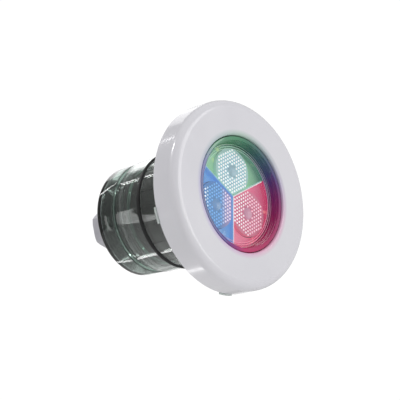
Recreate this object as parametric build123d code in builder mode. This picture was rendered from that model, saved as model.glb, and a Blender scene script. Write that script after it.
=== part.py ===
from build123d import *

import os
from math import cos, radians, sin, sqrt

# Wall-mounted underwater light: a white bayonet face ring on a clear housing, with three coloured LEDs.
#
# Millimetres. The lamp's axis is Y: the face looks along -Y and the tube runs back along +Y into the wall.
# The origin is on the axis in the plane of the wall. +Z is up.
# Outlines of turned pieces are drawn as (radius, y) points in the XY plane and revolved about Y.

# ---------------------------------------------------------------- face ring
FACE_WIDTH = 19.6  # tube to rim
FACE_DEPTH = 16.0  # wall to front face
FACE_WALL = 3.0
FACE_ROUND = 4.5
FACE_REAR_ROUND = 0.8
OPENING_ROUND = 1.2
OPENING_GAP = 0.4  # between the ring's opening and the housing's collar
INNER_COLLAR_WALL = 3.0
RIB_COUNT = 9
RIB_THICKNESS = 1.2
PAD_PAIR_ANGLES = (21.0, 93.0)  # each pair is this pad and the one opposite
PAD_ARC = 9.5
PAD_STEP = 0.6  # how far a pad stands off the rim, backwards and outwards
PAD_DEPTH = 1.2
PAD_GAP = 0.05

# ---------------------------------------------------------------- housing tube
TUBE_RADIUS = 30.4
TUBE_LENGTH = 47.0  # wall to shoulder
TUBE_WALL = 2.6
COLLAR_INSET = 0.9  # the retaining ring's front behind the face
COLLAR_WALL = 1.7
OPTICS_STEP = 0.6  # how far the optics' bore stands in from the tube's
WINDOW_SEAT_Y = -7.9
OPTICS_BORE_END_Y = 0.2
SHOULDER_CHAMFER = 0.8

BEAD_HEIGHT = 1.2  # bead round the tube that bears on the flange
BEAD_LENGTH = 0.6

# mounting flange
FLANGE_THICKNESS = 5.0
FLANGE_BORE_GAP = 0.05
SEAT_WIDTH = 9.6  # thick inner part of the flange that bears on the wall
LIP_THICKNESS = 2.8
LIP_GAP = 1.4  # between the lip's rim and the face ring's skirt

# bayonet
LUG_COUNT = 3
LUG_FIRST_ANGLE = 30.0
LUG_ARC = 16.0
LUG_THICKNESS = 1.3
LUG_INNER_GAP = 1.0
NOTCH_ARC = 22.0
TWIST_ANGLE = 24.0
STOP_ARC = 2.0
STOP_GAP = 1.0  # degrees between a lug and its stop

# wall screws
SCREW_COUNT = 3
SCREW_FIRST_ANGLE = 90.0
SCREW_HOLE_RADIUS = 2.2
SCREW_HEAD_RADIUS = 4.2
SCREW_EDGE = 0.4  # land between the screw head and the edge of the seat

# seals on the housing
WALL_SEAL_SECTION = 2.5
WALL_SEAL_Y = 30.0
WALL_SEAL_PROUD = 1.0
FLANGE_GASKET_WIDTH = 2.0
FLANGE_GASKET_THICKNESS = 1.2
SEAL_GAP = 0.05

# ---------------------------------------------------------------- window
WINDOW_THICKNESS = 2.5
WINDOW_GAP = 0.1
WINDOW_CHAMFER = 0.4
WINDOW_SEAL_THICKNESS = 0.4
RETAINER_WALL = 0.9
RETAINER_FLANGE = 0.8  # lies over the collar's front edge
RETAINER_GAP = 0.1
RETAINER_CHAMFER = 0.4

# ---------------------------------------------------------------- optics
COLOURS = {"green": 90.0, "blue": 210.0, "red": 330.0}
COLLIMATOR_RADIUS = 12.2
COLLIMATOR_REAR_RADIUS = 4.6
COLLIMATOR_BULGE = 1.3  # how far its side bows out from a straight cone
COLLIMATOR_RIM = 1.7
COLLIMATOR_DIMPLE_RADIUS = 3.0
COLLIMATOR_DIMPLE_DEPTH = 0.6
DIMPLE_HALFWAY_SHARE = 0.75  # of its depth, halfway from its middle to its edge
LED_POCKET_RADIUS = 3.0
LED_POCKET_DEPTH = 4.2
REFLECTOR_GAP = 0.3
REFLECTOR_FLOOR = 1.2
REFLECTOR_RIB = 0.4
REFLECTOR_RIB_HEIGHT = 2.3
SECTOR_GAP = 0.1
FRAME_GAP = 0.1
FRAME_THICKNESS = 2.2
FRAME_RIM = 1.6  # wall of the frame's skirt
RIDGE_Y = -7.7  # front edge of the reflectors' ribs

# ---------------------------------------------------------------- LED board and heat sink
BOARD_FRONT_Y = 5.0
BOARD_THICKNESS = 1.6
BOARD_GAP = 0.2
LED_SIDE = 5.0
LED_BASE = 0.8
LED_DOME_RADIUS = 1.7
PAD_SHEET_THICKNESS = 0.3
CAN_GAP = 2.6  # the air between the can and the tube
CAN_WALL = 2.0
CAN_REAR_Y = 46.0
CAN_MOUTH_CHAMFER = 1.0
CAN_LIP_THICKNESS = 1.2
CAN_LIP_GAP = 0.2
FLUTE_COUNT = 18
FLUTE_FIRST_ANGLE = 10.0
FLUTE_WIDTH = 2.0
FLUTE_DEPTH = 0.5
FLUTE_FRONT_Y = 14.0
FLUTE_REAR_Y = 38.0
WEB_THICKNESS = 4.0
WIRE_HOLE_RADIUS = 3.0
BOARD_SCREW_RADIUS = 1.5
BOARD_SCREW_CIRCLE = 8.0
BOARD_SCREW_FIRST_ANGLE = 30.0
BOARD_SCREW_HEAD_RADIUS = 2.75
BOARD_SCREW_HEAD_HEIGHT = 1.7
BOARD_SCREW_LENGTH = 5.5
SCREW_SLOT_LENGTH = 3.6
SCREW_SLOT_WIDTH = 0.5

# ---------------------------------------------------------------- driver
DRIVER_FRONT_Y = 24.0
DRIVER_THICKNESS = 1.6
DRIVER_GAP = 0.4
STANDOFF_COUNT = 3
STANDOFF_EDGE = 3.8  # from a standoff's axis to the driver board's edge
STANDOFF_FIRST_ANGLE = 30.0
STANDOFF_FLATS = 5.5
STANDOFF_STUD_LENGTH = 3.0
DRIVER_SCREW_LENGTH = 4.5
INDUCTOR_RADIUS = 7.0
INDUCTOR_FLANGE = 1.2
INDUCTOR_WAIST = 3.4
INDUCTOR_HEIGHT = 9.0
INDUCTOR_PLACE = (-6.0, 5.0)
CAPACITOR_RADIUS = 4.0
CAPACITOR_HEIGHT = 13.0
CAPACITOR_PLACES = ((7.0, 11.0), (12.5, 3.0))
CHIP_SIZE = (10.0, 6.0, 1.5)
CHIP_PLACE = (0.0, -12.0)
TERMINAL_SIZE = (14.0, 8.0, 9.0)
TERMINAL_PLACE = (0.0, -12.0)
TERMINAL_SCREW_RADIUS = 1.6
TERMINAL_SPACING = 5.0
TERMINAL_WELL_DEPTH = 4.0
TERMINAL_HEAD_HEIGHT = 1.2
LEAD_COUNT = 4
LEAD_FIRST_ANGLE = 45.0
LEAD_RADIUS = 0.6
LEAD_SPACING = 2.4
LEAD_RISE = 1.5  # how far a lead arches in front of the LED board
LEAD_BEND = 0.7
LEAD_PAD_CIRCLE = 4.6
POTTING_HOLE_GAP = 0.4  # between the resin's hole and the lock nut's corners

# ---------------------------------------------------------------- rear cap
CAP_INSET = 0.6  # how far the cap stands in from the tube
CAP_LENGTH = 16.0  # shoulder to the cap's rear face
CAP_GAP = 1.0  # between the tube's end and the cap's flange
CAP_NECK_DEPTH = 1.4
CAP_NECK_LENGTH = 2.4
CAP_SPIGOT_LENGTH = 7.0
CAP_SPIGOT_GAP = 0.05
CAP_BORE_GAP = 0.2  # between the can and the cap's bore
CAP_SEAL_SECTION = 1.5
CAP_SEAL_GROOVE = 1.35  # depth
CAP_SEAL_INSET = 3.0  # from the spigot's front end to the seal's middle
CAP_REAR_WALL = 1.5
CAP_REAR_ROUND = 1.6
CAP_FRONT_ROUND = 0.8

# ---------------------------------------------------------------- cable gland
GLAND_FLATS = 22.0
GLAND_TURN = 15.5  # degrees that the hexagons stand turned from flat-to-the-side
GLAND_THREAD_RADIUS = 8.0
GLAND_THREAD_GAP = 0.1
GLAND_WASHER_THICKNESS = 1.0
GLAND_WASHER_RADIUS = 10.6
GLAND_HEX_LENGTH = 6.0
GLAND_THREAD_LENGTH = 8.0
GLAND_BORE_RADIUS = 4.6
GLAND_SEAT_RADIUS = 5.8
GLAND_SEAT_DEPTH = 6.0
GLAND_NUT_GAP = 0.6
GLAND_NUT_LENGTH = 15.0
GLAND_NUT_END_WALL = 2.4
GLAND_NUT_END_HOLE = 4.6
GLAND_CHAMFER = 0.7
CABLE_RADIUS = 3.75
GLAND_SEAL_GAP = 0.05
CLAMP_RING_LENGTH = 2.4
CLAMP_RING_BORE = 4.2
CLAMP_RING_GAP = 0.1
CLAMP_SLOT_COUNT = 6
CLAMP_SLOT_WIDTH = 1.0
CLAMP_SLOT_REACH = 3.0
LOCKNUT_FLATS = 20.0
LOCKNUT_THICKNESS = 3.0

# ---------------------------------------------------------------- worked-out places
FACE_Y = -FACE_DEPTH
FACE_RADIUS = TUBE_RADIUS + FACE_WIDTH
TUBE_BORE_RADIUS = TUBE_RADIUS - TUBE_WALL
OPTICS_BORE_RADIUS = TUBE_BORE_RADIUS - OPTICS_STEP
OPTIC_CIRCLE_RADIUS = OPTICS_BORE_RADIUS / 2
CAN_RADIUS = TUBE_BORE_RADIUS - CAN_GAP
CAP_RADIUS = TUBE_RADIUS - CAP_INSET
CAP_NECK_RADIUS = CAP_RADIUS - CAP_NECK_DEPTH
SKIRT_INNER_RADIUS = FACE_RADIUS - FACE_WALL
RIM_REAR_Y = -PAD_STEP
OPENING_RADIUS = TUBE_RADIUS + OPENING_GAP
FLANGE_FRONT_Y = -FLANGE_THICKNESS
SEAT_RADIUS = TUBE_RADIUS + SEAT_WIDTH
LIP_RADIUS = SKIRT_INNER_RADIUS - LIP_GAP
LIP_REAR_Y = FLANGE_FRONT_Y + LIP_THICKNESS
SCREW_CIRCLE = SEAT_RADIUS - SCREW_HEAD_RADIUS - SCREW_EDGE
WINDOW_SEAT_RADIUS = TUBE_RADIUS - COLLAR_WALL
WINDOW_RADIUS = WINDOW_SEAT_RADIUS - WINDOW_GAP
WINDOW_REAR_Y = WINDOW_SEAT_Y - WINDOW_SEAL_THICKNESS
WINDOW_FRONT_Y = WINDOW_REAR_Y - WINDOW_THICKNESS
RETAINER_FRONT_Y = FACE_Y + COLLAR_INSET
COLLAR_FRONT_Y = RETAINER_FRONT_Y + RETAINER_FLANGE + RETAINER_GAP
WALL_GROOVE_RADIUS = TUBE_RADIUS + WALL_SEAL_PROUD - WALL_SEAL_SECTION
REFLECTOR_RADIUS = OPTICS_BORE_RADIUS - REFLECTOR_GAP
REFLECTOR_FLOOR_Y = RIDGE_Y + REFLECTOR_RIB_HEIGHT
FRAME_FRONT_Y = REFLECTOR_FLOOR_Y + REFLECTOR_FLOOR + FRAME_GAP
FRAME_REAR_Y = FRAME_FRONT_Y + FRAME_THICKNESS
COLLIMATOR_FRONT_Y = REFLECTOR_FLOOR_Y - COLLIMATOR_RIM
LED_TOP_Y = BOARD_FRONT_Y - LED_BASE
COLLIMATOR_REAR_Y = LED_TOP_Y - BOARD_GAP
CAN_LIP_REAR_Y = OPTICS_BORE_END_Y + CAN_LIP_THICKNESS
CAN_BORE_RADIUS = CAN_RADIUS - CAN_WALL
BOARD_RADIUS = CAN_BORE_RADIUS - BOARD_GAP
BOARD_REAR_Y = BOARD_FRONT_Y + BOARD_THICKNESS
WEB_FRONT_Y = BOARD_REAR_Y + PAD_SHEET_THICKNESS
WEB_REAR_Y = WEB_FRONT_Y + WEB_THICKNESS
DRIVER_RADIUS = CAN_BORE_RADIUS - DRIVER_GAP
STANDOFF_CIRCLE = DRIVER_RADIUS - STANDOFF_EDGE
DRIVER_REAR_Y = DRIVER_FRONT_Y + DRIVER_THICKNESS
CAP_SPIGOT_RADIUS = TUBE_BORE_RADIUS - CAP_SPIGOT_GAP
CAP_SPIGOT_FRONT_Y = TUBE_LENGTH - CAP_SPIGOT_LENGTH
CAP_BORE_RADIUS = CAN_RADIUS + CAP_BORE_GAP
CAP_NECK_FRONT_Y = TUBE_LENGTH
CAP_REAR_Y = TUBE_LENGTH + CAP_LENGTH
CAP_INNER_Y = CAP_REAR_Y - CAP_REAR_WALL
CAP_NECK_END_Y = CAP_NECK_FRONT_Y + CAP_GAP + CAP_NECK_LENGTH
CAP_SEAL_Y = CAP_SPIGOT_FRONT_Y + CAP_SEAL_INSET
CAP_SEAL_GROOVE_RADIUS = CAP_SPIGOT_RADIUS - CAP_SEAL_GROOVE
LOCKNUT_CORNER_RADIUS = LOCKNUT_FLATS / 2 / cos(radians(30))
GLAND_HEX_Y = CAP_REAR_Y + GLAND_WASHER_THICKNESS
GLAND_HEX_END_Y = GLAND_HEX_Y + GLAND_HEX_LENGTH
GLAND_THREAD_END_Y = GLAND_HEX_END_Y + GLAND_THREAD_LENGTH
GLAND_NUT_Y = GLAND_HEX_END_Y + GLAND_NUT_GAP
GLAND_END_Y = GLAND_NUT_Y + GLAND_NUT_LENGTH
GLAND_NUT_BORE_END_Y = GLAND_END_Y - GLAND_NUT_END_WALL
GLAND_NUT_BORE = GLAND_THREAD_RADIUS + GLAND_THREAD_GAP
GLAND_SEAT_Y = GLAND_THREAD_END_Y - GLAND_SEAT_DEPTH
CLAMP_RING_Y = GLAND_NUT_BORE_END_Y - CLAMP_RING_GAP - CLAMP_RING_LENGTH
LOCKNUT_Y = CAP_INNER_Y - LOCKNUT_THICKNESS
TERMINAL_WELLS = [
    (TERMINAL_PLACE[0] + side * TERMINAL_SPACING / 2, TERMINAL_PLACE[1]) for side in (-1, 1)
]
GLAND_FRONT_Y = LOCKNUT_Y - GLAND_THREAD_GAP


def across(y):
    """The plane square to the axis at y, facing the front, with X to the right and Z up."""
    return Plane.XZ.offset(-y)


def turned(*points, rounds=(), mode=Mode.ADD):
    """Revolve a closed outline of (radius, y) points about Y. Each of rounds is (corner, radius)."""
    with BuildSketch(Plane.XY) as outline:
        with BuildLine():
            Polyline(*points, close=True)
        make_face()
        for corner, radius in rounds:
            fillet(outline.vertices().sort_by_distance(corner)[0], radius)
    revolve(outline.sketch, axis=Axis.Y, mode=mode)


def arc_block(y, depth, inner, outer, angle, arc, mode=Mode.ADD):
    """A block between two radii that spans arc degrees about angle and runs back from y by depth."""
    reach = 2 * outer
    half = radians(arc / 2)
    with BuildSketch(across(y)) as block:
        Circle(outer)
        Circle(inner, mode=Mode.SUBTRACT)
        with Locations(Location((0, 0, 0), (0, 0, angle))):
            Polygon(
                (0, 0),
                (reach * cos(half), -reach * sin(half)),
                (reach * cos(half), reach * sin(half)),
                align=None,
                mode=Mode.INTERSECT,
            )
    extrude(block.sketch, amount=-depth, mode=mode)


def on_circle(radius, angle):
    """The point at angle on a circle about the axis, in a plane square to the axis."""
    return (radius * cos(radians(angle)), radius * sin(radians(angle)))


def in_space(radius, angle, y):
    """The same point as on_circle, in the lamp's frame at y."""
    x, z = on_circle(radius, angle)
    return (x, y, z)


def sector_outline(outer, angle, inset, mode=Mode.ADD):
    """A 120 degree sector in the current sketch, set in from its straight borders by inset."""
    apex = inset / sin(radians(60))
    reach = 2 * outer
    with BuildSketch(mode=Mode.PRIVATE) as outline:
        Circle(outer)
        with Locations(Location((0, 0, 0), (0, 0, angle))):
            Polygon(
                (apex, 0),
                (apex + reach * cos(radians(60)), -reach * sin(radians(60))),
                (apex + reach * cos(radians(60)), reach * sin(radians(60))),
                align=None,
                mode=Mode.INTERSECT,
            )
    add(outline.sketch, mode=mode)


def sector(y, depth, outer, angle, inset, mode=Mode.ADD):
    """A 120 degree sector block that runs back from y by depth."""
    with BuildSketch(across(y)) as block:
        sector_outline(outer, angle, inset)
    extrude(block.sketch, amount=-depth, mode=mode)


def hexagon(y, length, flats, chamfered_ends=False):
    """A hexagonal block whose corners are turned down to a cone at both ends."""
    with BuildSketch(across(y)) as outline:
        RegularPolygon(flats / 2, 6, major_radius=False, rotation=GLAND_TURN + 30)
    extrude(outline.sketch, amount=-length)
    if chamfered_ends:
        corner = flats / 2 / cos(radians(30))
        turned(
            (0, y),
            (corner - GLAND_CHAMFER * sqrt(3), y),
            (corner, y + GLAND_CHAMFER),
            (corner, y + length - GLAND_CHAMFER),
            (corner - GLAND_CHAMFER * sqrt(3), y + length),
            (0, y + length),
            mode=Mode.INTERSECT,
        )


def screws(seat_y, circle, first_angle, length, rearward=False):
    """Three pan-head screws whose heads seat at seat_y, on the front side or on the rear side."""
    way = -1 if rearward else 1
    with BuildSketch(across(seat_y)) as shanks:
        with PolarLocations(circle, SCREW_COUNT, start_angle=first_angle):
            Circle(BOARD_SCREW_RADIUS)
    extrude(shanks.sketch, amount=-way * length)
    with BuildSketch(across(seat_y)) as heads:
        with PolarLocations(circle, SCREW_COUNT, start_angle=first_angle):
            Circle(BOARD_SCREW_HEAD_RADIUS)
    extrude(heads.sketch, amount=way * BOARD_SCREW_HEAD_HEIGHT)
    with BuildSketch(across(seat_y - way * BOARD_SCREW_HEAD_HEIGHT)) as slots:
        with PolarLocations(circle, SCREW_COUNT, start_angle=first_angle):
            Rectangle(SCREW_SLOT_LENGTH, SCREW_SLOT_WIDTH)
            Rectangle(SCREW_SLOT_WIDTH, SCREW_SLOT_LENGTH)
    extrude(slots.sketch, amount=-way * BOARD_SCREW_HEAD_HEIGHT / 2, mode=Mode.SUBTRACT)


def save(shape, label):
    """Label a finished piece and write its STEP file."""
    shape.label = label
    export_step(shape, f"parts/{label}.step")


os.makedirs("parts", exist_ok=True)

# ---------------------------------------------------------------- face ring
INNER_COLLAR_RADIUS = OPENING_RADIUS + INNER_COLLAR_WALL
RING_INSIDE_Y = FACE_Y + FACE_WALL
RIB_REAR_Y = FLANGE_FRONT_Y - LUG_INNER_GAP
LUG_FRONT_Y = RIM_REAR_Y - LUG_THICKNESS
LUG_INNER_RADIUS = SEAT_RADIUS + LUG_INNER_GAP
PAD_INNER_RADIUS = FACE_RADIUS - FACE_WALL / 2
PAD_ANGLES = [angle + half_turn for half_turn in (0, 180) for angle in PAD_PAIR_ANGLES]

with BuildPart() as face_ring:
    turned(
        (OPENING_RADIUS, FACE_Y),
        (FACE_RADIUS, FACE_Y),
        (FACE_RADIUS, RIM_REAR_Y),
        (SKIRT_INNER_RADIUS, RIM_REAR_Y),
        (SKIRT_INNER_RADIUS, RING_INSIDE_Y),
        (INNER_COLLAR_RADIUS, RING_INSIDE_Y),
        (INNER_COLLAR_RADIUS, RIB_REAR_Y),
        (OPENING_RADIUS, RIB_REAR_Y),
        rounds=(
            ((FACE_RADIUS, FACE_Y), FACE_ROUND),
            ((OPENING_RADIUS, FACE_Y), OPENING_ROUND),
            ((FACE_RADIUS, RIM_REAR_Y), FACE_REAR_ROUND),
        ),
    )
    # stiffening ribs between the collar and the skirt
    rib_length = FACE_RADIUS - FACE_WALL / 2 - OPENING_RADIUS - INNER_COLLAR_WALL / 2
    rib_middle = OPENING_RADIUS + INNER_COLLAR_WALL / 2 + rib_length / 2
    with BuildSketch(across(RING_INSIDE_Y - FACE_WALL / 2)):
        with PolarLocations(rib_middle, RIB_COUNT):
            Rectangle(rib_length, RIB_THICKNESS)
    extrude(amount=-(RIB_REAR_Y - RING_INSIDE_Y + FACE_WALL / 2))
    # bayonet lugs inside the skirt
    for index in range(LUG_COUNT):
        lug_angle = LUG_FIRST_ANGLE + index * 360 / LUG_COUNT
        skirt_middle = FACE_RADIUS - FACE_WALL / 2
        arc_block(LUG_FRONT_Y, LUG_THICKNESS, LUG_INNER_RADIUS, skirt_middle, lug_angle, LUG_ARC)
    # pockets for the rim pads
    for pad_angle in PAD_ANGLES:
        arc_block(
            -PAD_DEPTH - PAD_GAP, PAD_DEPTH, PAD_INNER_RADIUS - PAD_GAP, FACE_RADIUS + PAD_STEP,
            pad_angle, PAD_ARC + PAD_GAP, mode=Mode.SUBTRACT,
        )
save(face_ring.part, "face_ring")

# soft pads in the rim, which bear on the wall
with BuildPart() as rim_pads:
    for pad_angle in PAD_ANGLES:
        arc_block(-PAD_DEPTH, PAD_DEPTH, PAD_INNER_RADIUS, FACE_RADIUS + PAD_STEP, pad_angle, PAD_ARC)
save(rim_pads.part, "rim_pads")

# ---------------------------------------------------------------- housing
with BuildPart() as housing:
    turned(
        (WINDOW_SEAT_RADIUS, COLLAR_FRONT_Y),
        (TUBE_RADIUS, COLLAR_FRONT_Y),
        (TUBE_RADIUS, FLANGE_FRONT_Y - BEAD_LENGTH),
        (TUBE_RADIUS + BEAD_HEIGHT, FLANGE_FRONT_Y - BEAD_LENGTH),
        (TUBE_RADIUS + BEAD_HEIGHT, FLANGE_FRONT_Y),
        (TUBE_RADIUS, FLANGE_FRONT_Y),
        (TUBE_RADIUS, WALL_SEAL_Y - WALL_SEAL_SECTION / 2),
        (WALL_GROOVE_RADIUS, WALL_SEAL_Y - WALL_SEAL_SECTION / 2),
        (WALL_GROOVE_RADIUS, WALL_SEAL_Y + WALL_SEAL_SECTION / 2),
        (TUBE_RADIUS, WALL_SEAL_Y + WALL_SEAL_SECTION / 2),
        (TUBE_RADIUS, TUBE_LENGTH - SHOULDER_CHAMFER),
        (TUBE_RADIUS - SHOULDER_CHAMFER, TUBE_LENGTH),
        (TUBE_BORE_RADIUS, TUBE_LENGTH),
        (TUBE_BORE_RADIUS, OPTICS_BORE_END_Y),
        (OPTICS_BORE_RADIUS, OPTICS_BORE_END_Y),
        (OPTICS_BORE_RADIUS, WINDOW_SEAT_Y),
        (WINDOW_SEAT_RADIUS, WINDOW_SEAT_Y),
    )
save(housing.part, "housing")

# ---------------------------------------------------------------- mounting flange
FLANGE_BORE_RADIUS = TUBE_RADIUS + FLANGE_BORE_GAP
FLANGE_GASKET_INNER = TUBE_RADIUS + SEAL_GAP
FLANGE_GASKET_OUTER = FLANGE_GASKET_INNER + FLANGE_GASKET_WIDTH
NOTCH_ROOT_RADIUS = LUG_INNER_RADIUS - LUG_INNER_GAP / 2

with BuildPart() as mounting_flange:
    turned(
        (FLANGE_BORE_RADIUS, FLANGE_FRONT_Y),
        (LIP_RADIUS, FLANGE_FRONT_Y),
        (LIP_RADIUS, LIP_REAR_Y),
        (SEAT_RADIUS, LIP_REAR_Y),
        (SEAT_RADIUS, 0),
        (FLANGE_GASKET_OUTER + SEAL_GAP, 0),
        (FLANGE_GASKET_OUTER + SEAL_GAP, -FLANGE_GASKET_THICKNESS),
        (FLANGE_BORE_RADIUS, -FLANGE_GASKET_THICKNESS),
        rounds=(((LIP_RADIUS, FLANGE_FRONT_Y), LIP_THICKNESS / 4),),
    )
    for index in range(LUG_COUNT):
        lug_angle = LUG_FIRST_ANGLE + index * 360 / LUG_COUNT
        # the notch that a lug passes through when the ring has been twisted
        arc_block(
            FLANGE_FRONT_Y, FLANGE_THICKNESS, NOTCH_ROOT_RADIUS, FACE_RADIUS,
            lug_angle + TWIST_ANGLE, NOTCH_ARC, mode=Mode.SUBTRACT,
        )
        # the stop that the lug meets when it is locked
        arc_block(
            LIP_REAR_Y - LIP_THICKNESS / 2, LIP_THICKNESS / 2 + LUG_THICKNESS,
            LUG_INNER_RADIUS, LIP_RADIUS,
            lug_angle - LUG_ARC / 2 - STOP_GAP - STOP_ARC / 2, STOP_ARC,
        )
    # countersunk holes for the wall screws
    with Locations(across(FLANGE_FRONT_Y)):
        with PolarLocations(SCREW_CIRCLE, SCREW_COUNT, start_angle=SCREW_FIRST_ANGLE):
            CounterSinkHole(SCREW_HOLE_RADIUS, SCREW_HEAD_RADIUS, depth=FLANGE_THICKNESS)
save(mounting_flange.part, "mounting_flange")

with BuildPart() as wall_seal:
    with BuildSketch(Plane.XY):
        with Locations((WALL_GROOVE_RADIUS + WALL_SEAL_SECTION / 2, WALL_SEAL_Y)):
            Circle(WALL_SEAL_SECTION / 2 - SEAL_GAP / 2)
    revolve(axis=Axis.Y)
save(wall_seal.part, "wall_seal")

with BuildPart() as flange_gasket:
    turned(
        (FLANGE_GASKET_INNER, -FLANGE_GASKET_THICKNESS),
        (FLANGE_GASKET_OUTER, -FLANGE_GASKET_THICKNESS),
        (FLANGE_GASKET_OUTER, 0),
        (FLANGE_GASKET_INNER, 0),
    )
save(flange_gasket.part, "flange_gasket")

# ---------------------------------------------------------------- window, its seal and retaining ring
with BuildPart() as window_seal:
    turned(
        (OPTICS_BORE_RADIUS, WINDOW_REAR_Y),
        (WINDOW_RADIUS, WINDOW_REAR_Y),
        (WINDOW_RADIUS, WINDOW_SEAT_Y),
        (OPTICS_BORE_RADIUS, WINDOW_SEAT_Y),
    )
save(window_seal.part, "window_seal")

with BuildPart() as front_window:
    turned(
        (0, WINDOW_FRONT_Y),
        (WINDOW_RADIUS - WINDOW_CHAMFER, WINDOW_FRONT_Y),
        (WINDOW_RADIUS, WINDOW_FRONT_Y + WINDOW_CHAMFER),
        (WINDOW_RADIUS, WINDOW_REAR_Y),
        (0, WINDOW_REAR_Y),
    )
save(front_window.part, "front_window")

RETAINER_INNER_RADIUS = WINDOW_RADIUS - RETAINER_WALL
with BuildPart() as window_retainer:
    turned(
        (RETAINER_INNER_RADIUS + RETAINER_CHAMFER, RETAINER_FRONT_Y),
        (TUBE_RADIUS, RETAINER_FRONT_Y),
        (TUBE_RADIUS, RETAINER_FRONT_Y + RETAINER_FLANGE),
        (WINDOW_RADIUS, RETAINER_FRONT_Y + RETAINER_FLANGE),
        (WINDOW_RADIUS, WINDOW_FRONT_Y),
        (RETAINER_INNER_RADIUS, WINDOW_FRONT_Y),
        (RETAINER_INNER_RADIUS, RETAINER_FRONT_Y + RETAINER_CHAMFER),
        rounds=(((TUBE_RADIUS, RETAINER_FRONT_Y), RETAINER_FLANGE / 2),),
    )
save(window_retainer.part, "window_retainer")

# ---------------------------------------------------------------- a reflector and a collimator for each colour
RIB_INSET = SECTOR_GAP / 2 + REFLECTOR_RIB
LENS_INSET = RIB_INSET + REFLECTOR_GAP
COLLIMATOR_SIDE_Y = COLLIMATOR_FRONT_Y + COLLIMATOR_RIM
COLLIMATOR_MIDDLE_RADIUS = (COLLIMATOR_RADIUS + COLLIMATOR_REAR_RADIUS) / 2 + COLLIMATOR_BULGE
COLLIMATOR_MIDDLE_Y = (COLLIMATOR_SIDE_Y + COLLIMATOR_REAR_Y) / 2
DIMPLE_HALFWAY_Y = COLLIMATOR_FRONT_Y + DIMPLE_HALFWAY_SHARE * COLLIMATOR_DIMPLE_DEPTH

with BuildPart() as collimator:
    with BuildSketch(Plane.XY):
        with BuildLine():
            ThreePointArc(
                (0, COLLIMATOR_FRONT_Y + COLLIMATOR_DIMPLE_DEPTH),
                (COLLIMATOR_DIMPLE_RADIUS / 2, DIMPLE_HALFWAY_Y),
                (COLLIMATOR_DIMPLE_RADIUS, COLLIMATOR_FRONT_Y),
            )
            Polyline(
                (COLLIMATOR_DIMPLE_RADIUS, COLLIMATOR_FRONT_Y),
                (COLLIMATOR_RADIUS, COLLIMATOR_FRONT_Y),
                (COLLIMATOR_RADIUS, COLLIMATOR_SIDE_Y),
            )
            ThreePointArc(
                (COLLIMATOR_RADIUS, COLLIMATOR_SIDE_Y),
                (COLLIMATOR_MIDDLE_RADIUS, COLLIMATOR_MIDDLE_Y),
                (COLLIMATOR_REAR_RADIUS, COLLIMATOR_REAR_Y),
            )
            Polyline(
                (COLLIMATOR_REAR_RADIUS, COLLIMATOR_REAR_Y),
                (LED_POCKET_RADIUS, COLLIMATOR_REAR_Y),
                (LED_POCKET_RADIUS, COLLIMATOR_REAR_Y - LED_POCKET_DEPTH),
                (0, COLLIMATOR_REAR_Y - LED_POCKET_DEPTH),
                (0, COLLIMATOR_FRONT_Y + COLLIMATOR_DIMPLE_DEPTH),
            )
        make_face()
    revolve(axis=Axis.Y)

for colour, angle in COLOURS.items():
    with BuildPart() as reflector:
        sector(RIDGE_Y, REFLECTOR_RIB_HEIGHT + REFLECTOR_FLOOR, REFLECTOR_RADIUS, angle, SECTOR_GAP / 2)
        sector(
            RIDGE_Y, REFLECTOR_RIB_HEIGHT, REFLECTOR_RADIUS - REFLECTOR_RIB, angle, RIB_INSET,
            mode=Mode.SUBTRACT,
        )
        with BuildSketch(across(REFLECTOR_FLOOR_Y)):
            with Locations(on_circle(OPTIC_CIRCLE_RADIUS, angle)):
                Circle(COLLIMATOR_RADIUS + REFLECTOR_GAP)
            sector_outline(REFLECTOR_RADIUS - REFLECTOR_RIB, angle, RIB_INSET, mode=Mode.INTERSECT)
        extrude(amount=-REFLECTOR_FLOOR, mode=Mode.SUBTRACT)
    save(reflector.part, f"reflector_{colour}")

    with BuildPart() as lens:
        with Locations(in_space(OPTIC_CIRCLE_RADIUS, angle, 0)):
            add(collimator.part)
        sector(
            COLLIMATOR_FRONT_Y, COLLIMATOR_REAR_Y - COLLIMATOR_FRONT_Y, OPTICS_BORE_RADIUS,
            angle, LENS_INSET, mode=Mode.INTERSECT,
        )
    save(lens.part, f"lens_{colour}")

# the frame that carries the lenses and stands on the rim of the can
with BuildPart() as lens_frame:
    turned(
        (0, FRAME_FRONT_Y),
        (REFLECTOR_RADIUS, FRAME_FRONT_Y),
        (REFLECTOR_RADIUS, OPTICS_BORE_END_Y),
        (REFLECTOR_RADIUS - FRAME_RIM, OPTICS_BORE_END_Y),
        (REFLECTOR_RADIUS - FRAME_RIM, FRAME_REAR_Y),
        (0, FRAME_REAR_Y),
    )
    for angle in COLOURS.values():
        with BuildSketch(across(FRAME_FRONT_Y)):
            with Locations(on_circle(OPTIC_CIRCLE_RADIUS, angle)):
                Circle(COLLIMATOR_RADIUS + FRAME_GAP)
            sector_outline(REFLECTOR_RADIUS - FRAME_RIM, angle, LENS_INSET - FRAME_GAP, mode=Mode.INTERSECT)
        extrude(amount=-FRAME_THICKNESS, mode=Mode.SUBTRACT)
save(lens_frame.part, "lens_frame")

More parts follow.
